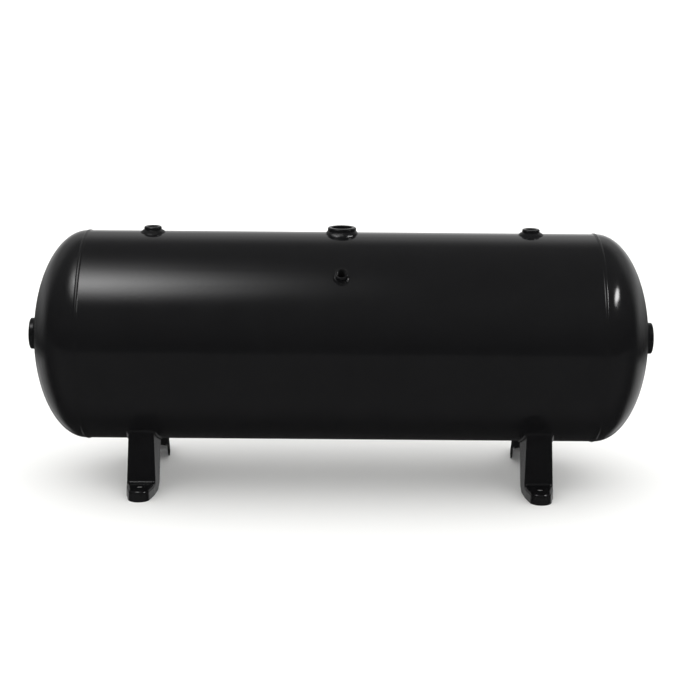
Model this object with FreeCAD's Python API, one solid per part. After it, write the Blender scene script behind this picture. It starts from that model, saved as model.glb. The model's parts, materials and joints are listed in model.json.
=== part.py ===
# Horizontal air receiver: a welded steel pressure tank lying on four pressed steel feet.
# Millimetres. X runs along the tank, -Y is the front, Z is up. The origin is on the floor,
# under the middle of the tank.
import FreeCAD
import Part
import math
import os

V = FreeCAD.Vector

# The vessel
tank_diameter = 609.6       # outside, 24 in
weld_spacing = 1474.0       # between the middles of the two girth welds
shell_wall = 4.4
head_wall = 4.4
head_straight = 5.5         # from the middle of the girth weld to where the head starts to curve
head_depth = 152.4          # of the curved part; a quarter of the diameter makes a 2:1 head
skirt_length = 22.0         # of the head's stepped-in edge, inside the shell
skirt_gap = 0.3             # between that edge and the shell
floor_clearance = 119.5     # under the tank

# The seams
groove_width = 6.0          # gap between shell and head that the girth weld fills
girth_weld_width = 11.0
girth_weld_crown = 2.2      # how far the weld stands above the shell
seam_angle = -110.0         # of the shell's long seam, from the top towards the front
seam_weld_width = 9.0
seam_weld_crown = 1.4

# Pipe couplings: diameter and bore of each, its length, how far it stands out of the tank,
# and the two legs of the weld round it, out along the tank and up the coupling.
small_port = {"diameter": 50.8, "bore": 29.4, "length": 36.0, "height": 17.0, "toe": 12.0, "rise": 8.5}
centre_port = {"diameter": 82.6, "bore": 56.4, "length": 44.0, "height": 18.0, "toe": 6.0, "rise": 8.0}
front_port = {"diameter": 38.1, "bore": 23.8, "length": 38.0, "height": 22.0, "toe": 5.5, "rise": 5.5}
end_port = {"diameter": 92.1, "bore": 66.7, "length": 52.5, "height": 18.0, "toe": 7.0, "rise": 6.0}
small_port_setback = 189.0  # of the two small couplings on top, from the girth welds
front_port_angle = 45.0     # of the front coupling, from the top towards the front
port_chamfer = 2.5          # on the outside of each mouth
bore_chamfer = 2.5          # countersink where the thread starts
port_gap = 0.3              # round each coupling in its hole
weld_bulge = 0.8            # of the weld's face round a coupling

# The feet, each pressed from one plate
foot_setback = 164.5        # from the girth weld to the middle of each foot
foot_plate = 5.0            # thickness
foot_height = 32.0          # of the flat that is bolted down, over the floor
foot_length = 82.5          # of that flat, from the bend to the toe
foot_angle = 37.0           # where the leg meets the tank, from the bottom
leg_splay = 7.6             # of the leg, from upright
toe_radius = 32.0           # of the rounded toe, at the floor
toe_flare = 12.5            # of the sides from the toe back to the leg, seen from above
side_flare = 5.0            # of the sides from there on, seen from above
side_corner = 14.0          # from the bend forward to where the one flare turns into the other
side_blend = 60.0           # radius between the two
side_draft = 2.5            # of the sides, from upright
flange_top = 95.0           # depth of the side flanges where they meet the tank
flange_foot = 53.0          # and at the floor
flange_cut = 14.0           # cut off their corner at the floor, upward
flange_cut_length = 18.0    # and along the floor
bend_radius = 10.0          # between leg and flat
edge_radius = 9.0           # round the outside of the pressing
bolt_hole = 22.0
bolt_setback = 32.5         # from the bend to the bolt hole
foot_gap = 0.3              # between foot and tank, closed by the weld
foot_weld = 6.0             # both legs of the weld round the top of each foot

radius = tank_diameter / 2
axis_height = floor_clearance + radius
weld_x = weld_spacing / 2
curve_x = weld_x + head_straight
head_tip_x = curve_x + head_depth
foot_x = weld_x - foot_setback
small_port_x = weld_x - small_port_setback


def revolve(edges, axis):
    return Part.Face(Part.Wire(edges)).revolve(V(0, 0, 0), axis, 360)


def polyline(points):
    return [Part.makeLine(a, b) for a, b in zip(points, points[1:])]


def arc(start, middle, end):
    return Part.Arc(start, middle, end).toShape()


def tank_cylinder(r):
    return Part.makeCylinder(r, 2 * head_tip_x, V(-head_tip_x, 0, 0), V(1, 0, 0))


# The vessel is made round the X axis and lifted to its height at the end.

def dome_arc(r, depth, rim_r, hole_r):
    # part of a dome with radius r, from radius rim_r in to radius hole_r
    ellipse = Part.Ellipse(V(curve_x, 0, r), V(curve_x + depth, 0, 0), V(curve_x, 0, 0))
    return Part.ArcOfEllipse(ellipse, math.acos(rim_r / r), math.acos(hole_r / r)).toShape()


def right_head():
    hole_r = end_port["diameter"] / 2 + port_gap
    inner_r = radius - head_wall
    outside = dome_arc(radius, head_depth, radius, hole_r)
    inside = dome_arc(inner_r, head_depth - head_wall, inner_r, hole_r)
    shoulder_x = weld_x + groove_width / 2
    skirt_end_x = weld_x - groove_width / 2 - skirt_length
    skirt_r = radius - shell_wall - skirt_gap
    edges = [outside, inside]
    edges += polyline([outside.Vertexes[1].Point, inside.Vertexes[1].Point])
    edges += polyline([
        V(curve_x, 0, inner_r),
        V(shoulder_x - 1, 0, skirt_r - head_wall),
        V(skirt_end_x, 0, skirt_r - head_wall),
        V(skirt_end_x, 0, skirt_r),
        V(shoulder_x, 0, skirt_r),
        V(shoulder_x, 0, radius),
        V(curve_x, 0, radius),
    ])
    return revolve(Part.sortEdges(edges)[0], V(1, 0, 0))


def right_girth_weld():
    root = radius - shell_wall - skirt_gap
    half_groove = groove_width / 2
    half_width = girth_weld_width / 2
    edges = polyline([
        V(weld_x + half_width, 0, radius),
        V(weld_x + half_groove, 0, radius),
        V(weld_x + half_groove, 0, root),
        V(weld_x - half_groove, 0, root),
        V(weld_x - half_groove, 0, radius),
        V(weld_x - half_width, 0, radius),
    ])
    crown = V(weld_x, 0, radius + girth_weld_crown)
    edges.append(arc(V(weld_x - half_width, 0, radius), crown, V(weld_x + half_width, 0, radius)))
    return revolve(edges, V(1, 0, 0))


def shell():
    half = weld_x - groove_width / 2
    tube = Part.makeCylinder(radius, 2 * half, V(-half, 0, 0), V(1, 0, 0))
    tube = tube.cut(tank_cylinder(radius - shell_wall))
    for port, x, angle in shell_ports().values():
        tube = tube.cut(placed_on_shell(port_hole(port), x, angle))
    return tube


def long_seam_weld():
    half_length = weld_x - girth_weld_width / 2
    half_width = seam_weld_width / 2
    edges = polyline([V(0, half_width, 0), V(0, half_width, -1), V(0, -half_width, -1), V(0, -half_width, 0)])
    edges.append(arc(V(0, -half_width, 0), V(0, 0, seam_weld_crown), V(0, half_width, 0)))
    bead = Part.Face(Part.Wire(edges)).extrude(V(2 * half_length, 0, 0))
    bead = placed_on_shell(bead, -half_length, seam_angle)
    return bead.cut(tank_cylinder(radius))


# Couplings are made round the Z axis, with the tank's surface at z = 0.

def shell_ports():
    # each coupling on the shell: its sizes, its x and its angle from the top towards the front
    return {
        "top_left_port": (small_port, -small_port_x, 0),
        "top_centre_port": (centre_port, 0, 0),
        "top_right_port": (small_port, small_port_x, 0),
        "front_port": (front_port, 0, front_port_angle),
    }


def placed(shape, position, turn):
    shape = shape.copy()
    shape.Placement = FreeCAD.Placement(position, turn)
    return shape


def placed_on_shell(shape, x, angle):
    turn = FreeCAD.Rotation(V(1, 0, 0), angle)
    return placed(shape, V(x, 0, 0) + turn.multVec(V(0, 0, radius)), turn)


def placed_on_end(shape):
    return placed(shape, V(head_tip_x, 0, 0), FreeCAD.Rotation(V(0, 1, 0), 90))


def port_hole(port):
    r = port["diameter"] / 2 + port_gap
    return Part.makeCylinder(r, 2 * port["length"], V(0, 0, -port["length"]))


def coupling(port):
    outer = port["diameter"] / 2
    inner = port["bore"] / 2
    top = port["height"]
    bottom = top - port["length"]
    edges = polyline([
        V(inner, 0, bottom),
        V(outer, 0, bottom),
        V(outer, 0, top - port_chamfer),
        V(outer - port_chamfer, 0, top),
        V(inner + bore_chamfer, 0, top),
        V(inner, 0, top - bore_chamfer),
        V(inner, 0, bottom),
    ])
    return revolve(edges, V(0, 0, 1))


def weld_face(start, end):
    # the face of a weld round a coupling, bulging to the left of the way from start to end
    across = end - start
    bulge = V(-across.z, 0, across.x).normalize() * weld_bulge
    return arc(start, (start + end) * 0.5 + bulge, end)


def shell_coupling_weld(port):
    # a collar whose face runs on below the surface, to be cut off by the tank
    inner = port["diameter"] / 2
    toe, rise = port["toe"], port["rise"]
    top, foot = V(inner, 0, rise), V(inner + toe, 0, 0)
    edges = [weld_face(top, foot)]
    edges += polyline([foot, V(inner + 2 * toe, 0, -rise), V(inner, 0, -rise), top])
    return revolve(edges, V(0, 0, 1))


def right_end_port_weld():
    inner = end_port["diameter"] / 2
    on_dome = dome_arc(radius, head_depth, inner + end_port["toe"], inner)
    foot, root = on_dome.Vertexes[0].Point, on_dome.Vertexes[1].Point
    top = V(head_tip_x + end_port["rise"], 0, inner)
    return revolve([on_dome, weld_face(foot, top)] + polyline([root, top]), V(1, 0, 0))


# A foot is made for the front of the tank, round x = 0, and turned round for the back.

def web_top():
    angle = math.radians(foot_angle)
    return V(0, -radius * math.sin(angle), axis_height - radius * math.cos(angle))


def bend_y():
    top = web_top()
    return top.y - (top.z - foot_height) * math.tan(math.radians(leg_splay))


def plan_outline(z, offset, back_y):
    # the rounded toe, the sides widening to the leg and the flanges behind it, moved in by offset
    flare = math.radians(toe_flare)
    draft = math.radians(side_draft)
    r = toe_radius - z * math.tan(draft) - offset / math.cos(draft)
    toe_y = bend_y() - foot_length + toe_radius
    side = V(r * math.cos(flare), toe_y - r * math.sin(flare), z)
    corner_y = bend_y() - side_corner
    corner = V(side.x + (corner_y - side.y) * math.tan(flare), corner_y, z)
    start, middle, end = plan_blend(corner, offset)
    back = V(end.x + (back_y - end.y) * math.tan(math.radians(side_flare)), back_y, z)
    edges = polyline([side, start]) + [arc(start, middle, end)] + polyline([end, back, mirrored(back)])
    edges += polyline([mirrored(side), mirrored(start)])
    edges += [arc(mirrored(start), mirrored(middle), mirrored(end))] + polyline([mirrored(end), mirrored(back)])
    edges.append(arc(side, V(0, toe_y - r, z), mirrored(side)))
    return Part.Wire(Part.sortEdges(edges)[0])


def plan_blend(corner, offset):
    # start, middle and end of the arc between the two flares of a side
    before, after = math.radians(toe_flare), math.radians(side_flare)
    r = side_blend - offset
    reach = r * math.tan((before - after) / 2)
    start = corner - V(math.sin(before), math.cos(before), 0) * reach
    end = corner + V(math.sin(after), math.cos(after), 0) * reach
    centre = start + V(-math.cos(before), math.sin(before), 0) * r
    return start, centre + (corner - centre).normalize() * r, end


def mirrored(point):
    return V(-point.x, point.y, point.z)


def side_profile(offset, margin):
    # the pressing seen from its side; margin opens the floor and the back of the inner form
    top = web_top()
    splay = math.radians(leg_splay)
    flat_z = foot_height - offset
    corner_y = bend_y() + offset / math.cos(splay) - offset * math.tan(splay)
    r = bend_radius + offset
    turn = math.pi / 2 - splay
    tangent = r * math.tan(turn / 2)
    up = V(0, math.sin(splay), math.cos(splay))
    corner = V(0, corner_y, flat_z)
    centre = corner + V(0, -tangent, r)
    bend_start, bend_end = corner + V(0, -tangent, 0), corner + up * tangent
    bend_middle = centre + (corner - centre).normalize() * r
    over = top.z + flange_top
    web_end = corner + up * ((over - flat_z) / up.z)
    back_top, back_foot = flange_edge(margin)
    rise = (over - back_foot.z) / (back_top.z - back_foot.z)
    back_over = back_foot + (back_top - back_foot) * rise
    front_y = bend_y() - 2 * foot_length
    edges = polyline([bend_start, V(0, front_y, flat_z), V(0, front_y, back_foot.z), back_foot, back_over,
                      web_end, bend_end])
    edges.append(arc(bend_end, bend_middle, bend_start))
    return Part.Wire(edges)


def flange_edge(margin):
    # top and foot of the flanges' free edge
    top_y = web_top().y + flange_top
    top_z = axis_height - math.sqrt(radius ** 2 - top_y ** 2)
    return V(0, top_y + margin, top_z), V(0, bend_y() + flange_foot + margin, -margin)


def foot_form(offset, margin=0.0):
    # the space inside the pressing's outer surface, moved in by offset
    back_y = web_top().y + 2 * flange_top + margin
    low, high = -margin, web_top().z + flange_top
    plan = Part.makeLoft([plan_outline(low, offset, back_y), plan_outline(high, offset, back_y)], True, True)
    width = 4 * toe_radius + 4 * flange_top
    profile = Part.Face(side_profile(offset, margin)).extrude(V(width, 0, 0))
    profile.translate(V(-width / 2, 0, 0))
    form = plan.common(profile).Solids[0]
    return form.makeFillet(edge_radius - offset, rounded_edges(form, offset))


def rounded_edges(form, offset):
    # those between the sides and the web, the bend and the flat
    back_top, back_foot = flange_edge(0)
    edges = []
    for edge in form.Edges:
        middle = edge.valueAt((edge.FirstParameter + edge.LastParameter) / 2)
        share = (middle.z - back_foot.z) / (back_top.z - back_foot.z)
        back_y = back_foot.y + (back_top.y - back_foot.y) * share
        on_toe = abs(middle.x) < 1 and middle.y < bend_y() - bend_radius - offset - 1
        on_side = abs(middle.x) > 1
        above_floor = middle.z > foot_height - offset - 1
        below_top = middle.z < web_top().z + flange_top - 1
        if (on_toe or on_side) and above_floor and below_top and middle.y < back_y - 5:
            edges.append(edge)
    return edges


def front_foot():
    solid = foot_form(0).cut(foot_form(foot_plate, margin=2 * foot_plate))
    solid = solid.cut(lifted(tank_cylinder(radius + foot_gap)))
    hole = Part.makeCylinder(bolt_hole / 2, 2 * foot_height, V(0, bend_y() - bolt_setback, 0))
    return solid.cut(hole).cut(flange_corners())


def flange_corners():
    # what is cut off the flanges where their free edges come down to the floor
    back_top, back_foot = flange_edge(0)
    on_edge = back_foot + (back_top - back_foot) * (flange_cut / back_top.z)
    on_floor = back_foot - V(0, flange_cut_length, 0)
    behind = back_foot + V(0, flange_cut_length, -flange_cut)
    wedge = Part.Face(Part.Wire(polyline([on_floor, on_edge, behind, on_floor])))
    width = 4 * toe_radius + 4 * flange_top
    return wedge.extrude(V(width, 0, 0)).translated(V(-width / 2, 0, 0))


def front_foot_weld():
    collar = foot_form(-foot_weld).cut(foot_form(0))
    zone = lifted(tank_cylinder(radius + foot_weld).cut(tank_cylinder(radius)))
    return collar.common(zone)


def lifted(shape):
    return shape.translated(V(0, 0, axis_height))


def turned(shape):
    return shape.rotated(V(0, 0, 0), V(0, 0, 1), 180)


def vessel_nodes():
    nodes = {
        "shell": shell(),
        "right_head": right_head(),
        "right_girth_weld": right_girth_weld(),
        "long_seam_weld": long_seam_weld(),
        "right_end_port": placed_on_end(coupling(end_port)),
        "right_end_port_weld": right_end_port_weld(),
    }
    for name in ("head", "girth_weld", "end_port", "end_port_weld"):
        nodes["left_" + name] = turned(nodes["right_" + name])
    for name, (port, x, angle) in shell_ports().items():
        nodes[name] = placed_on_shell(coupling(port), x, angle)
        nodes[name + "_weld"] = placed_on_shell(shell_coupling_weld(port), x, angle).cut(tank_cylinder(radius))
    return {name: lifted(shape) for name, shape in nodes.items()}


def foot_nodes():
    nodes = {}
    foot, weld = front_foot(), front_foot_weld()
    for side, x in (("left", -foot_x), ("right", foot_x)):
        for name, shape in (("foot", foot), ("foot_weld", weld)):
            nodes[f"front_{side}_{name}"] = shape.translated(V(x, 0, 0))
            nodes[f"rear_{side}_{name}"] = turned(shape).translated(V(x, 0, 0))
    return nodes


os.makedirs("parts", exist_ok=True)
for name, shape in {**vessel_nodes(), **foot_nodes()}.items():
    solids = shape.Solids
    if len(solids) != 1 or not shape.isValid():
        raise ValueError(f"{name}: {len(solids)} solids, valid {shape.isValid()}")
    solids[0].exportStep(f"parts/{name}.step")
    print(f"{name:24s} {solids[0].Volume / 1000:9.1f} cm3")
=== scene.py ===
import json
import math
import bmesh
import bpy
from mathutils import Matrix, Vector
from mathutils.bvhtree import BVHTree
from mathutils.geometry import convex_hull_2d


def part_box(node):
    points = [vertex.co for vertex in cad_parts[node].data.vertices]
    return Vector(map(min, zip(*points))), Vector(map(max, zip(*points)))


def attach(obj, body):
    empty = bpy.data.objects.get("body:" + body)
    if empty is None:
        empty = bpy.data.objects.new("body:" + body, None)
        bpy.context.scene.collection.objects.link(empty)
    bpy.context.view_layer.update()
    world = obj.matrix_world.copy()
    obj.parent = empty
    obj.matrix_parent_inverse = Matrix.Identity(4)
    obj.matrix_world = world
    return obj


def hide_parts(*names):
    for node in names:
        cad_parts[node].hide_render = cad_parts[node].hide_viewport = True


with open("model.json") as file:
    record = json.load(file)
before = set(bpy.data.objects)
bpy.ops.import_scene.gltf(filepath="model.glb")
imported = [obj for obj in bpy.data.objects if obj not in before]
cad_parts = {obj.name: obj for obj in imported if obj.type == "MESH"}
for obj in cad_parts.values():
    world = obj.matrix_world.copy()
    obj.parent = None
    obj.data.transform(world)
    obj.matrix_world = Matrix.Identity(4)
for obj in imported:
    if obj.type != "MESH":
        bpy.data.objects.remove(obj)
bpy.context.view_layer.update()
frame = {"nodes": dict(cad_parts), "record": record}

mm = 0.001
fullTurn = 2 * math.pi

# where the tank is, from the frame
shellLow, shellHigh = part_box("shell")
tankRadius = (shellHigh.z - shellLow.z) / 2
axisHeight = (shellHigh.z + shellLow.z) / 2
axisPoint = Vector((0, 0, axisHeight))
headDepth = tankRadius / 2  # 2:1 dished heads
rootGap = 0.1 * mm  # welds start this far under the surface they sit on
mergeDistance = 1e-6  # points of a mesh closer than this, in metres, become one


def addNode(tree, kind, values=None, links=None, **settings):
    node = tree.nodes.new(kind)
    for key, value in settings.items():
        setattr(node, key, value)
    for socket, value in (values or {}).items():
        node.inputs[socket].default_value = value
    for socket, source in (links or {}).items():
        tree.links.new(source, node.inputs[socket])
    return node


def linearColour(hexText):
    parts = [int(hexText[i:i + 2], 16) / 255 for i in (0, 2, 4)]
    return [c / 12.92 if c <= 0.04045 else ((c + 0.055) / 1.055) ** 2.4 for c in parts] + [1.0]


def perMetre(millimetres):
    return 1 / (millimetres * mm)  # a texture's scale from a real size


def powderCoatOnSteel(name, look):
    # polyester powder coat, baked: deep black, a clear reflection broken up by fine orange peel
    material = bpy.data.materials.new(name)
    material.use_nodes = True
    tree = material.node_tree
    tree.nodes.clear()
    place = addNode(tree, "ShaderNodeTexCoord").outputs["Object"]

    # film thickness: the black is a touch greyer and less glossy where the film is thin
    film = addNode(tree, "ShaderNodeTexNoise", {"Scale": perMetre(look["filmPatch"]), "Detail": 3.0},
                   {"Vector": place})
    colour = addNode(tree, "ShaderNodeMix",
                     {6: linearColour(look["colour"]), 7: linearColour(look["thinColour"])},
                     {0: film.outputs[0]}, data_type="RGBA")
    gloss = addNode(tree, "ShaderNodeMapRange",
                    {"To Min": look["roughness"] - look["roughSpread"],
                     "To Max": look["roughness"] + look["roughSpread"]},
                    {"Value": film.outputs[0]})

    # the steel below: slow waves left by rolling, dishing or pressing
    stretch = addNode(tree, "ShaderNodeMapping", {"Scale": look["waveStretch"]}, {"Vector": place})
    waves = addNode(tree, "ShaderNodeTexNoise", {"Scale": perMetre(look["waveWidth"]), "Detail": 1.0},
                    {"Vector": stretch.outputs[0]})
    normal = addNode(tree, "ShaderNodeBump", {"Distance": look["waveDepth"] * mm},
                     {"Height": waves.outputs[0]})

    # orange peel of the baked powder, on a slower swell where the melt has flowed
    swell = addNode(tree, "ShaderNodeTexNoise", {"Scale": perMetre(look["swellWidth"]), "Detail": 1.0},
                    {"Vector": place})
    normal = addNode(tree, "ShaderNodeBump", {"Distance": look["swellDepth"] * mm},
                     {"Height": swell.outputs[0], "Normal": normal.outputs[0]})
    peel = addNode(tree, "ShaderNodeTexNoise",
                   {"Scale": perMetre(look["peelWidth"]), "Detail": 2.0, "Roughness": look["peelFineness"]},
                   {"Vector": place})
    normal = addNode(tree, "ShaderNodeBump", {"Distance": look["peelDepth"] * mm},
                     {"Height": peel.outputs[0], "Normal": normal.outputs[0]})

    # a few nibs of dust under the film, in a small share of the cells
    cells = addNode(tree, "ShaderNodeTexVoronoi", {"Scale": perMetre(look["nibSpacing"])}, {"Vector": place})
    nib = addNode(tree, "ShaderNodeMapRange",
                  {"From Max": look["nibWidth"] / 2 / look["nibSpacing"], "To Min": 1.0, "To Max": 0.0},
                  {"Value": cells.outputs["Distance"]}, interpolation_type="SMOOTHSTEP")
    chosen = addNode(tree, "ShaderNodeMath", {1: 1 - look["nibShare"]}, {0: cells.outputs["Color"]},
                     operation="GREATER_THAN")
    nibs = addNode(tree, "ShaderNodeMath", None, {0: nib.outputs[0], 1: chosen.outputs[0]},
                   operation="MULTIPLY")
    normal = addNode(tree, "ShaderNodeBump", {"Distance": look["nibHeight"] * mm},
                     {"Height": nibs.outputs[0], "Normal": normal.outputs[0]})

    surface = addNode(tree, "ShaderNodeBsdfPrincipled", {"IOR": look["ior"], "Metallic": 0.0},
                      {"Base Color": colour.outputs[2], "Roughness": gloss.outputs[0],
                       "Normal": normal.outputs[0]})
    addNode(tree, "ShaderNodeOutputMaterial", None, {"Surface": surface.outputs[0]})
    return material


plateLook = {  # widths, depths, heights and spacings in millimetres
    "colour": "0d0d0e", "thinColour": "111112", "ior": 1.5,
    "roughness": 0.13, "roughSpread": 0.03,
    "filmPatch": 90, "waveWidth": 160, "waveDepth": 0.35, "waveStretch": (0.6, 1.0, 1.0),
    "swellWidth": 11, "swellDepth": 0.06, "peelWidth": 4.5, "peelDepth": 0.022, "peelFineness": 0.45,
    "nibSpacing": 28, "nibWidth": 1.6, "nibHeight": 0.06, "nibShare": 0.125,
}
headLook = dict(plateLook, waveWidth=110, waveDepth=0.25, waveStretch=(1.0, 1.0, 1.0))
weldLook = dict(plateLook, roughness=0.16, filmPatch=12, waveWidth=9, waveDepth=0.1, peelWidth=2.4,
                waveStretch=(1.0, 1.0, 1.0), nibSpacing=11, nibWidth=1.8, nibHeight=0.12)
turnedLook = dict(plateLook, roughness=0.15, filmPatch=20, waveWidth=14, waveDepth=0.05, peelWidth=3.0,
                  waveStretch=(1.0, 1.0, 1.0), nibSpacing=20)
tappedLook = dict(turnedLook, roughness=0.42, roughSpread=0.05)
pressedLook = dict(plateLook, roughness=0.15, filmPatch=40, waveWidth=38, waveDepth=0.3,
                   waveStretch=(1.0, 1.0, 0.35), peelWidth=4.0)

rolledPlate = powderCoatOnSteel("glossBlackPowderCoatOnRolledPlate", plateLook)  # long waves from rolling
dishedPlate = powderCoatOnSteel("glossBlackPowderCoatOnDishedHead", headLook)  # even waves from dishing
coatedWeld = powderCoatOnSteel("glossBlackPowderCoatOverWeldBead", weldLook)  # thicker, lumpier film
turnedSteel = powderCoatOnSteel("glossBlackPowderCoatOnTurnedCoupling", turnedLook)
tappedSteel = powderCoatOnSteel("thinBlackPowderCoatInTappedBore", tappedLook)  # a dull, broken gleam
pressedSteel = powderCoatOnSteel("glossBlackPowderCoatOnPressedFoot", pressedLook)  # waves along the draw

for nodeName, material in (("shell", rolledPlate), ("left_head", dishedPlate), ("right_head", dishedPlate)):
    frame["nodes"][nodeName].data.materials.clear()
    frame["nodes"][nodeName].data.materials.append(material)
print("materials made")


def addPiece(name, vertices, faces, material, node, sharpAngle=35):
    mesh = bpy.data.meshes.new(name)
    mesh.from_pydata([tuple(v) for v in vertices], [], faces)
    work = bmesh.new()
    work.from_mesh(mesh)
    bmesh.ops.remove_doubles(work, verts=work.verts, dist=mergeDistance)
    bmesh.ops.dissolve_degenerate(work, edges=work.edges, dist=mergeDistance)
    bmesh.ops.recalc_face_normals(work, faces=work.faces)
    work.to_mesh(mesh)
    work.free()
    mesh.materials.append(material)
    mesh.shade_smooth()
    mesh.set_sharp_from_angle(angle=math.radians(sharpAngle))
    piece = bpy.data.objects.new(name, mesh)
    bpy.context.scene.collection.objects.link(piece)
    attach(piece, "root")
    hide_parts(node)
    return piece


def loftFaces(rings, closed):
    # quads between rings of equal length, with a cap on each end if the loft is open
    count = len(rings)
    size = len(rings[0])
    faces = []
    for i in range(count if closed else count - 1):
        a, b = i * size, (i + 1) % count * size
        faces += [(a + j, a + (j + 1) % size, b + (j + 1) % size, b + j) for j in range(size)]
    if not closed:
        faces += [tuple(range(size)), tuple(range((count - 1) * size, count * size))]
    return faces


def wander(along, length, seed):
    # a slow unsteadiness from -1 to 1 that meets itself after the length
    turn = fullTurn * along / length
    waves = ((3, 0.5, 1.3), (7, 0.3, 2.9), (13, 0.2, 4.1))  # how many, how large, how far shifted
    return sum(size * math.sin(count * turn + seed * shift) for count, size, shift in waves)


domePower, ripplePower = 0.8, 0.5  # lower is fuller towards the toes


def beadSection(toeA, toeB, roots, along, look):
    # one section of a weld: its rippled face from toe to toe, then back through its roots
    middle = (toeA + toeB) / 2
    across = (toeB - toeA).normalized()
    out = middle - sum(roots, Vector()) / len(roots)
    out = (out - across * out.dot(across)).normalized()
    points = []
    for step in range(look["faceSteps"] + 1):
        share = step / look["faceSteps"]
        dome = 4 * share * (1 - share)
        phase = (along - look["rippleTrail"] * mm * dome) / (look["ripplePitch"] * mm)
        dip = look["rippleDepth"] * (0.5 - 0.5 * math.cos(fullTurn * phase)) * dome ** ripplePower
        points.append(toeA.lerp(toeB, share) + out * (look["crown"] * dome ** domePower - dip) * mm)
    return points + roots


def addBead(name, sectionAt, length, look, node, closed):
    # sectionAt gives toeA, toeB and roots at a distance along the weld
    ripples = max(1, round(length / (look["ripplePitch"] * mm)))
    count = ripples * look["stepsPerRipple"]
    rings = []
    for i in range(count if closed else count + 1):
        along = length * i / count
        toeA, toeB, roots = sectionAt(along)
        rings.append(beadSection(toeA, toeB, roots, along, look))
    vertices = [point for ring in rings for point in ring]
    addPiece(name, vertices, loftFaces(rings, closed), coatedWeld, node)


# girth welds: laid by a machine, so wide, even and finely rippled; the far toe wanders less
girthWeld = {"crown": 2.1, "ripplePitch": 3.2, "rippleDepth": 0.22, "rippleTrail": 2.5, "wander": 0.25,
             "farToe": 0.6, "wall": 4.4, "grooveWidth": 6.0, "faceSteps": 8, "stepsPerRipple": 5}

for side in ("left", "right"):
    low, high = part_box(side + "_girth_weld")
    middleX, halfWidth = (low.x + high.x) / 2, (high.x - low.x) / 2
    halfGroove = girthWeld["grooveWidth"] * mm / 2
    length = fullTurn * tankRadius
    seed = middleX * 9  # the two welds wander differently

    def girthSection(along):
        angle = along / tankRadius
        radial = Vector((0, math.sin(angle), math.cos(angle)))
        shift = girthWeld["wander"] * mm * wander(along, length, seed)
        surface = axisPoint + radial * (tankRadius - rootGap)
        root = axisPoint + radial * (tankRadius - girthWeld["wall"] * mm)
        toeA = surface + Vector((middleX - halfWidth + shift, 0, 0))
        toeB = surface + Vector((middleX + halfWidth + shift * girthWeld["farToe"], 0, 0))
        roots = [root + Vector((middleX + s * halfGroove, 0, 0)) for s in (1, -1)]
        return toeA, toeB, roots

    addBead(side + "_girth_bead", girthSection, length, girthWeld, side + "_girth_weld", True)

# the shell's long seam, welded the same way but lower
longSeam = {"crown": 1.4, "ripplePitch": 3.2, "rippleDepth": 0.18, "rippleTrail": 2.2, "wander": 0.3,
            "farToe": 0.5, "halfWidth": 4.5, "rootShare": 0.6, "depth": 2.0, "seed": 2.2,
            "faceSteps": 7, "stepsPerRipple": 5}
low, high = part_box("long_seam_weld")
seamMiddle = (low + high) / 2
seamRadial = Vector((0, seamMiddle.y, seamMiddle.z - axisHeight)).normalized()
seamAcross = Vector((1, 0, 0)).cross(seamRadial)
seamStart, seamLength = low.x, high.x - low.x


def seamPoint(x, across, depth):
    angle = across / tankRadius
    radial = seamRadial * math.cos(angle) + seamAcross * math.sin(angle)
    return axisPoint + radial * (tankRadius - depth) + Vector((x, 0, 0))


def seamSection(along):
    x = seamStart + along
    shift = longSeam["wander"] * mm * wander(along, seamLength, longSeam["seed"])
    halfWidth = longSeam["halfWidth"] * mm
    halfRoot = halfWidth * longSeam["rootShare"]
    toeA = seamPoint(x, shift - halfWidth, rootGap)
    toeB = seamPoint(x, shift * longSeam["farToe"] + halfWidth, rootGap)
    return toeA, toeB, [seamPoint(x, s * halfRoot, longSeam["depth"] * mm) for s in (1, -1)]


addBead("long_seam_bead", seamSection, seamLength, longSeam, "long_seam_weld", False)
print("seam welds made")


# the pipe couplings are turned rings with tapped bores
coupling = {"mouthChamfer": 2.5, "boreChamfer": 2.5, "edgeRound": 0.7, "roundSteps": 4,
            "rowsPerPitch": 6, "aroundSteps": 88, "flankSlope": 1.2, "rootFlat": 0.1}
threads = {  # pipe thread of each coupling: pitch and depth
    "small": {"pitch": 25.4 / 11.5, "depth": 1.75},
    "large": {"pitch": 25.4 / 8, "depth": 2.5},
}
handWeld = {"crown": 0.9, "ripplePitch": 3.6, "rippleDepth": 0.32, "rippleTrail": 2.4, "wander": 0.5,
            "faceSteps": 7, "stepsPerRipple": 6, "depth": 1.2, "rootOut": 1.5, "rootDrop": 0.3,
            "longestLeg": 2.5, "toeTries": 6, "seed": 0.7}
holeClearance = 0.3 * mm  # round the couplings in the heads


def nodeSpan(node, origin, axis):
    # how far a node reaches along an axis, and out from it
    points = [v.co - origin for v in frame["nodes"][node].data.vertices]
    heights = [p.dot(axis) for p in points]
    widths = [(p - axis * h).length for p, h in zip(points, heights)]
    return min(heights), max(heights), max(widths)


def roundedProfile(points, radius, steps):
    # (radius, height) points with each inner corner rounded
    sidesPerRound = 2.1  # a rounding takes up a little less than half of each side
    rounded = [points[0]]
    for before, corner, after in zip(points, points[1:], points[2:]):
        corner = Vector(corner)
        back, on = Vector(before) - corner, Vector(after) - corner
        reach = min(radius, back.length / sidesPerRound, on.length / sidesPerRound)
        start, end = corner + back.normalized() * reach, corner + on.normalized() * reach
        for i in range(steps + 1):
            t = i / steps
            rounded.append(start * (1 - t) ** 2 + corner * 2 * t * (1 - t) + end * t * t)
    return rounded + [points[-1]]


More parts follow.
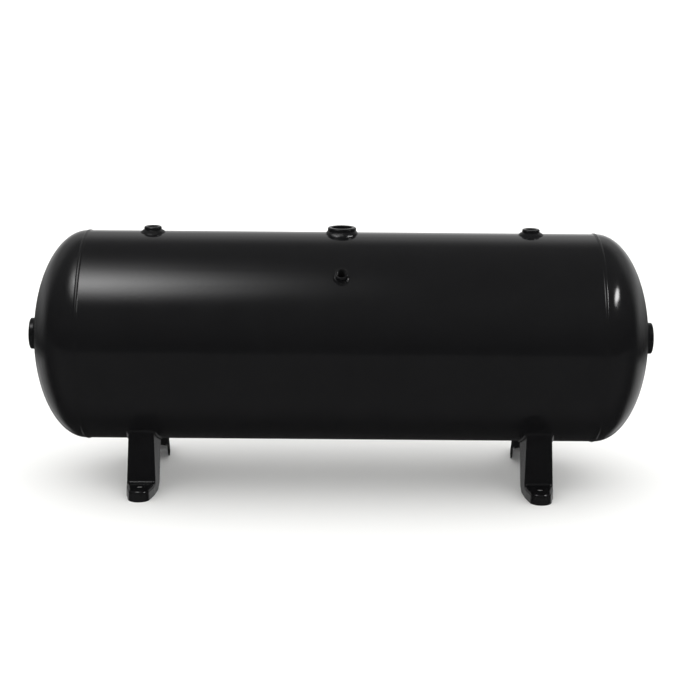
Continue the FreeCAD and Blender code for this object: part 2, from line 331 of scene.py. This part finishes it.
def addCoupling(name, mount, thread):
    # z runs out along the coupling, and the rows of the bore follow its thread
    axis = Vector(mount["axis"])
    origin = Vector(mount["pos_m"])
    bottom, top, outer = nodeSpan(name, origin, axis)
    bore = mount["dims"]["r_mm"] * mm
    chamfer, mouth = coupling["boreChamfer"] * mm, coupling["mouthChamfer"] * mm
    sideways = axis.orthogonal().normalized()
    around = [sideways * math.cos(a) + axis.cross(sideways) * math.sin(a)
              for a in (fullTurn * j / coupling["aroundSteps"] for j in range(coupling["aroundSteps"]))]
    count = len(around)

    profile = [(bore + chamfer, bottom), (outer - mouth / 2, bottom), (outer, bottom + mouth / 2),
               (outer, top - mouth), (outer - mouth, top), (bore + chamfer, top)]
    profile = roundedProfile(profile, coupling["edgeRound"] * mm, coupling["roundSteps"])
    vertices = [origin + d * r + axis * z for r, z in profile for d in around]
    faces = []
    for i in range(len(profile) - 1):
        for j in range(count):
            k = (j + 1) % count
            faces.append((i * count + j, i * count + k, (i + 1) * count + k, (i + 1) * count + j))

    pitch, depth = thread["pitch"] * mm, thread["depth"] * mm
    rows = coupling["rowsPerPitch"]
    rowCount = math.ceil((top - bottom) / pitch * rows)
    base = len(vertices)
    for i in range(-rows, rowCount + rows + 1):
        for j, d in enumerate(around):
            z = min(max(top - (i / rows + j / count) * pitch, bottom), top)
            phase = ((top - z) / pitch - j / count) % 1.0
            flank = min(max((1 - abs(2 * phase - 1)) * coupling["flankSlope"] - coupling["rootFlat"], 0), 1)
            cone = chamfer - min(top - z, z - bottom)
            vertices.append(origin + d * (bore + max(depth * flank, cone, 0)) + axis * z)
    for i in range(rowCount + 2 * rows):
        for j in range(count):
            nextRow, k = (i, j + 1) if j + 1 < count else (i + rows, 0)
            if nextRow + 1 > rowCount + 2 * rows:
                continue
            faces.append((base + i * count + j, base + nextRow * count + k,
                          base + (nextRow + 1) * count + k, base + (i + 1) * count + j))
    piece = addPiece(name + "_turned", vertices, faces, turnedSteel, name, sharpAngle=28)
    piece.data.materials.append(tappedSteel)
    for face in piece.data.polygons:
        outFromAxis = face.center - origin - axis * (face.center - origin).dot(axis)
        if outFromAxis.length < bore + depth and face.normal.dot(outFromAxis) < 0:
            face.material_index = 1


def shellDrop(width, angle):
    # how far the shell falls away from the level of a coupling's middle
    side = width * math.sin(angle)
    return math.sqrt(tankRadius ** 2 - side ** 2) - tankRadius


def headDrop(width, angle):
    # the same for a head, which is round, so the angle makes no difference
    return headDepth * (math.sqrt(1 - (width / tankRadius) ** 2) - 1)


def addCouplingWeld(name, mount, drop, surfaceHeight, seed):
    # a hand-laid fillet all round a coupling; surfaceHeight is where the tank's skin crosses its axis
    axis = Vector(mount["axis"])
    onEnd = abs(axis.x) > 0.5
    origin = Vector(mount["pos_m"])
    origin -= axis * (origin.dot(axis) - surfaceHeight)
    low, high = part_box(name + "_weld")
    outer = nodeSpan(name, origin, axis)[2]
    rise = nodeSpan(name + "_weld", origin, axis)[1]
    widest = (high.y - low.y) / 2 if onEnd else (high.x - low.x) / 2
    toe = widest - outer
    along0 = Vector((0, 1, 0)) if onEnd else Vector((1, 0, 0))
    along90 = axis.cross(along0)
    length = fullTurn * (outer + toe / 2)

    def section(along):
        angle = fullTurn * along / length
        spoke = along0 * math.cos(angle) + along90 * math.sin(angle)
        unsteady = handWeld["wander"] * mm
        leg = toe - unsteady + unsteady * wander(along, length, seed)
        climb = rise - unsteady + unsteady * wander(along, length, seed + 2)  # apart from the leg
        width = outer + leg
        if not onEnd:  # on the shell the toe is where the weld's face comes down to the curve
            for _ in range(handWeld["toeTries"]):
                width = outer + leg * min(1 - drop(width, angle) / climb, handWeld["longestLeg"])
        toeA = origin + spoke * (outer - rootGap) + axis * climb
        toeB = origin + spoke * width + axis * (drop(width, angle) - rootGap)
        corner = drop(outer, angle) - handWeld["depth"] * mm
        rootWidth, rootHeight = outer + handWeld["rootOut"] * mm, corner - handWeld["rootDrop"] * mm
        roots = [origin + spoke * rootWidth + axis * rootHeight,
                 origin + spoke * (outer - rootGap) + axis * corner]
        return toeA, toeB, roots

    addBead(name + "_fillet", section, length, handWeld, name + "_weld", True)


mounts = {m["name"]: m for m in frame["record"]["mounts"]}
# the tip that a head would have without the hole for its coupling
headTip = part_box("right_head")[1].x - headDrop(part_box("right_end_port")[1].y + holeClearance, 0)
sizes = {"top_left": "small", "top_centre": "small", "top_right": "small", "front": "small",
         "left_end": "large", "right_end": "large"}
for seed, (name, size) in enumerate(sizes.items()):
    mount = mounts[name + "_thread"]
    addCoupling(name + "_port", mount, threads[size])
    onEnd = size == "large"
    axis = Vector(mount["axis"])
    skin = headTip if onEnd else axisPoint.dot(axis) + tankRadius
    addCouplingWeld(name + "_port", mount, headDrop if onEnd else shellDrop, skin, seed + handWeld["seed"])
print("couplings made")


footWeld = dict(handWeld, crown=0.7, ripplePitch=4.2, rippleDepth=0.35, wander=0.45, leg=5.6, pathStep=0.6,
                lean=0.12, rootDepth=0.8, rootRise=0.5, stepsEachWay=4, seed=1.3)
nearSkin, nearEnd = 0.5 * mm, 0.1 * mm  # how close a point counts as on the shell or on the free edge


def cutEdge(node):
    # the outer line where the pressing meets the shell, from one free edge round to the other
    points = []
    for v in frame["nodes"][node].data.vertices:
        fromAxis = math.hypot(v.co.y, v.co.z - axisHeight) - tankRadius
        if abs(fromAxis) < nearSkin:
            points.append(v.co.copy())
    hull = [points[i] for i in convex_hull_2d([p.xy for p in points])]
    ends = [i for i in range(len(hull)) if abs(hull[i].y) < min(abs(p.y) for p in hull) + nearEnd]
    start = next(i for i in ends if (i - 1) % len(hull) in ends)
    return hull[start:] + hull[:start]


def resampled(points, step):
    # evenly spaced points along a line, and the line's length
    spans = [(b - a).length for a, b in zip(points, points[1:])]
    total = sum(spans)
    count = round(total / step)
    found = []
    for i in range(count + 1):
        rest = min(total * i / count, total - 1e-9)  # never past the last point
        for a, b, span in zip(points, points[1:], spans):
            if rest <= span:
                found.append(a.lerp(b, rest / span))
                break
            rest -= span
    return found, total


def addFootWeld(name, seed):
    # a hand-laid fillet along the top of a foot, from one free edge round to the other
    points, length = resampled(cutEdge(name), footWeld["pathStep"] * mm)
    mesh = frame["nodes"][name].data
    skin = BVHTree.FromPolygons([v.co for v in mesh.vertices], [p.vertices for p in mesh.polygons])
    middle = sum(points, Vector()) / len(points)
    last = len(points) - 1
    reach = footWeld["stepsEachWay"]

    def section(along):
        share = along / length * last
        i = min(int(share), last - 1)
        point = points[i].lerp(points[i + 1], share - i)
        low, high = max(i - reach, 0), min(i + 1 + reach, last)
        direction = (points[high] - points[low]).normalized()
        radial = Vector((0, point.y, point.z - axisHeight)).normalized()
        point = axisPoint + Vector((point.x, 0, 0)) + radial * tankRadius
        outward = direction.cross(radial).normalized()
        if outward.dot(point - middle) < 0:
            outward = -outward
        leg = footWeld["leg"] * mm + footWeld["wander"] * mm * (wander(along, length, seed) - 1) / 2
        toeB = point + outward * leg
        fromAxis = Vector((0, toeB.y, toeB.z - axisHeight)).normalized()
        toeB = axisPoint + Vector((toeB.x, 0, 0)) + fromAxis * (tankRadius - rootGap)
        down = (radial - outward * footWeld["lean"]).normalized()
        toeA, facing = skin.find_nearest(point + down * leg)[:2]
        toeA = toeA - facing * rootGap
        roots = [point - radial * footWeld["rootDepth"] * mm + outward * mm,
                 point - outward * mm + radial * footWeld["rootRise"] * mm]
        return toeA, toeB, roots

    addBead(name + "_fillet", section, length, footWeld, name + "_weld", False)


for seed, name in enumerate(("front_left_foot", "front_right_foot", "rear_left_foot", "rear_right_foot")):
    pressing = frame["nodes"][name]
    pressing.data.materials.clear()
    pressing.data.materials.append(pressedSteel)
    addFootWeld(name, seed + footWeld["seed"])
print("feet made")


studio = {"floorSize": 60, "floorColour": "f4f4f2", "floorRoughness": 0.9, "floorSheen": 0.1,
          "floorGlow": 0.06, "world": 1.8}  # the glow makes it a light table, so shadows stay soft

mesh = bpy.data.meshes.new("floor")
half = studio["floorSize"] / 2
mesh.from_pydata([(-half, -half, 0), (half, -half, 0), (half, half, 0), (-half, half, 0)], [], [(0, 1, 2, 3)])
floor = bpy.data.objects.new("floor", mesh)
bpy.context.scene.collection.objects.link(floor)
floorPaint = bpy.data.materials.new("matPaleStudioFloor")
floorPaint.use_nodes = True
floorShader = floorPaint.node_tree.nodes["Principled BSDF"]
floorShader.inputs["Base Color"].default_value = linearColour(studio["floorColour"])
floorShader.inputs["Roughness"].default_value = studio["floorRoughness"]
floorShader.inputs["Specular IOR Level"].default_value = studio["floorSheen"]
floorShader.inputs["Emission Color"].default_value = linearColour("ffffff")
floorShader.inputs["Emission Strength"].default_value = studio["floorGlow"]
mesh.materials.append(floorPaint)
floor.visible_glossy = False  # the gloss sees the dim room below the tank instead


# the room seen in the gloss: which way each band runs, between which two places, and its two levels
room = {
    "ceiling": ("up", (0.0, 0.75), (0.02, 0.15), "LINEAR"),
    "ground": ("up", (-0.115, -0.13), (0.0, 0.12), "LINEAR"),
    "under": ("back", (-0.35, 0.15), (1.0, 0.15), "LINEAR"),  # the ground darkens towards the wall
    "wall": ("right", (-0.15, 0.15), (0.41, 0.54), "LINEAR"),
    "behind": ("back", (0.3, 0.7), (0.0, 1.0), "SMOOTHSTEP"),  # the wall stands behind the tank
    "above": ("up", (-0.22, 0.02), (0.0, 1.0), "SMOOTHSTEP"),  # its foot
    "below": ("up", (0.42, 0.8), (1.0, 0.0), "SMOOTHSTEP"),  # its top
    "lower": ("up", (0.0, 0.25), (2.0, 1.0), "LINEAR"),  # it is brighter low down
    "ends": ("outward", (0.2, 0.5), (1.0, 0.52), "LINEAR"),  # and dimmer to both sides
    "farFloor": ("outward", (0.22, 0.42), (0.0, 1.0), "SMOOTHSTEP"),  # pale, past both ends of the tank
    "floorTop": ("up", (-0.215, -0.29), (0.0, 1.0), "SMOOTHSTEP"),
    "floorFoot": ("up", (-0.7, -0.5), (0.0, 1.0), "SMOOTHSTEP"),
}
mixing = (  # in this order; the ceiling ends up as the whole room
    ("ground", "MULTIPLY", ("under",)),
    ("farFloor", "MULTIPLY", ("floorTop", "floorFoot")),
    ("above", "ADD", ("farFloor",)),
    ("wall", "MULTIPLY", ("behind", "above", "below", "lower", "ends")),
    ("ceiling", "ADD", ("ground", "wall")),
)


def skyGradient():
    # pale all round for the eye; in reflections a dim room with a grey wall behind the tank
    world = bpy.data.worlds.new("studio")
    world.use_nodes = True
    tree = world.node_tree
    tree.nodes.clear()
    toward = addNode(tree, "ShaderNodeSeparateXYZ", None,
                     {0: addNode(tree, "ShaderNodeTexCoord").outputs["Generated"]})
    ways = {"up": toward.outputs["Z"], "back": toward.outputs["Y"], "right": toward.outputs["X"]}
    ways["outward"] = addNode(tree, "ShaderNodeMath", None, {0: ways["right"]},
                              operation="ABSOLUTE").outputs[0]
    bands = {}
    for name, (way, places, levels, ease) in room.items():
        bands[name] = addNode(tree, "ShaderNodeMapRange",
                              {"From Min": places[0], "From Max": places[1],
                               "To Min": levels[0], "To Max": levels[1]},
                              {"Value": ways[way]}, interpolation_type=ease).outputs[0]
    for name, operation, others in mixing:
        for other in others:
            bands[name] = addNode(tree, "ShaderNodeMath", None, {0: bands[name], 1: bands[other]},
                                  operation=operation).outputs[0]
    path = addNode(tree, "ShaderNodeLightPath")
    level = addNode(tree, "ShaderNodeMix", {2: studio["world"]},
                    {0: path.outputs["Is Glossy Ray"], 3: bands["ceiling"]})
    glow = addNode(tree, "ShaderNodeBackground", None, {"Strength": level.outputs[0]})
    addNode(tree, "ShaderNodeOutputWorld", None, {"Surface": glow.outputs[0]})
    bpy.context.scene.world = world


# fall is how far the light reaches along each side and how sharply it ends there, as a power
# a higher crispness gives a flatter middle and a harder edge all round
softboxes = {
    "overheadSoftbox": {"middle": (-1.0, -0.83, 2.2), "size": (2.4, 2.8), "facing": (0, 0, -1),
                        "strength": 6.4, "fall": ((0.45, 1.6), (0.5, 1.8)), "crispness": 1.0},
    "rightSoftbox": {"middle": (2.2, -0.95, 2.2), "size": (1.6, 0.6), "facing": (-0.5, 0.2, -1),
                     "strength": 18, "fall": ((0.5, 2.0), (0.23, 2.0)), "crispness": 2.5},
}


def addSoftbox(name, box):
    # a glowing cloth panel, brightest in its middle, that adds its light to the room behind it
    width, depth = box["size"]
    mesh = bpy.data.meshes.new(name)
    corners = [(-width / 2, -depth / 2, 0), (width / 2, -depth / 2, 0), (width / 2, depth / 2, 0),
               (-width / 2, depth / 2, 0)]
    mesh.from_pydata(corners, [], [(3, 2, 1, 0)])
    panel = bpy.data.objects.new(name, mesh)
    bpy.context.scene.collection.objects.link(panel)
    panel.location = box["middle"]
    panel.rotation_mode = "QUATERNION"
    panel.rotation_quaternion = Vector(box["facing"]).to_track_quat("-Z", "Y")
    cloth = bpy.data.materials.new(name + "Cloth")
    cloth.use_nodes = True
    tree = cloth.node_tree
    tree.nodes.clear()
    parts = addNode(tree, "ShaderNodeSeparateXYZ", None,
                    {0: addNode(tree, "ShaderNodeTexCoord").outputs["Object"]})
    away = []
    for axisName, (spread, power) in zip("XY", box["fall"]):
        share = addNode(tree, "ShaderNodeMath", None, {0: parts.outputs[axisName]}, operation="ABSOLUTE")
        share = addNode(tree, "ShaderNodeMath", {1: spread}, {0: share.outputs[0]}, operation="DIVIDE")
        away.append(addNode(tree, "ShaderNodeMath", {1: power}, {0: share.outputs[0]}, operation="POWER"))
    level = addNode(tree, "ShaderNodeMath", None, {0: away[0].outputs[0], 1: away[1].outputs[0]},
                    operation="ADD")
    for operation, amount in (("POWER", box["crispness"]), ("MULTIPLY", -1.0), ("EXPONENT", 0.0),
                              ("MULTIPLY", box["strength"])):  # the exponent has no second value
        level = addNode(tree, "ShaderNodeMath", {1: amount}, {0: level.outputs[0]}, operation=operation)
    glow = addNode(tree, "ShaderNodeEmission", None, {"Strength": level.outputs[0]})
    clear = addNode(tree, "ShaderNodeBsdfTransparent")
    both = addNode(tree, "ShaderNodeAddShader", None, {0: glow.outputs[0], 1: clear.outputs[0]})
    addNode(tree, "ShaderNodeOutputMaterial", None, {"Surface": both.outputs[0]})
    mesh.materials.append(cloth)
    panel.visible_camera = False
    panel.visible_diffuse = False  # the pale room lights the floor
    panel.visible_shadow = False


skyGradient()
for name, box in softboxes.items():
    addSoftbox(name, box)

camera = {"distance": 4.904, "elevation": 13.0, "lens": 87.8, "sensor": 36, "aim": (0.0013, 0, -0.0176),
          "roll": 0.47}
lens = bpy.data.cameras.new("camera")
lens.lens = camera["lens"]
lens.sensor_width = camera["sensor"]
eye = bpy.data.objects.new("camera", lens)
bpy.context.scene.collection.objects.link(eye)
tilt = math.radians(camera["elevation"])
eye.location = axisPoint + Vector((0, -math.cos(tilt), math.sin(tilt))) * camera["distance"]
gaze = axisPoint + Vector(camera["aim"]) - eye.location
turned = gaze.to_track_quat("-Z", "Y").to_matrix() @ Matrix.Rotation(math.radians(camera["roll"]), 3, "Z")
eye.rotation_euler = turned.to_euler()
bpy.context.scene.camera = eye
bpy.context.scene.view_settings.view_transform = "Standard"
print("studio made")
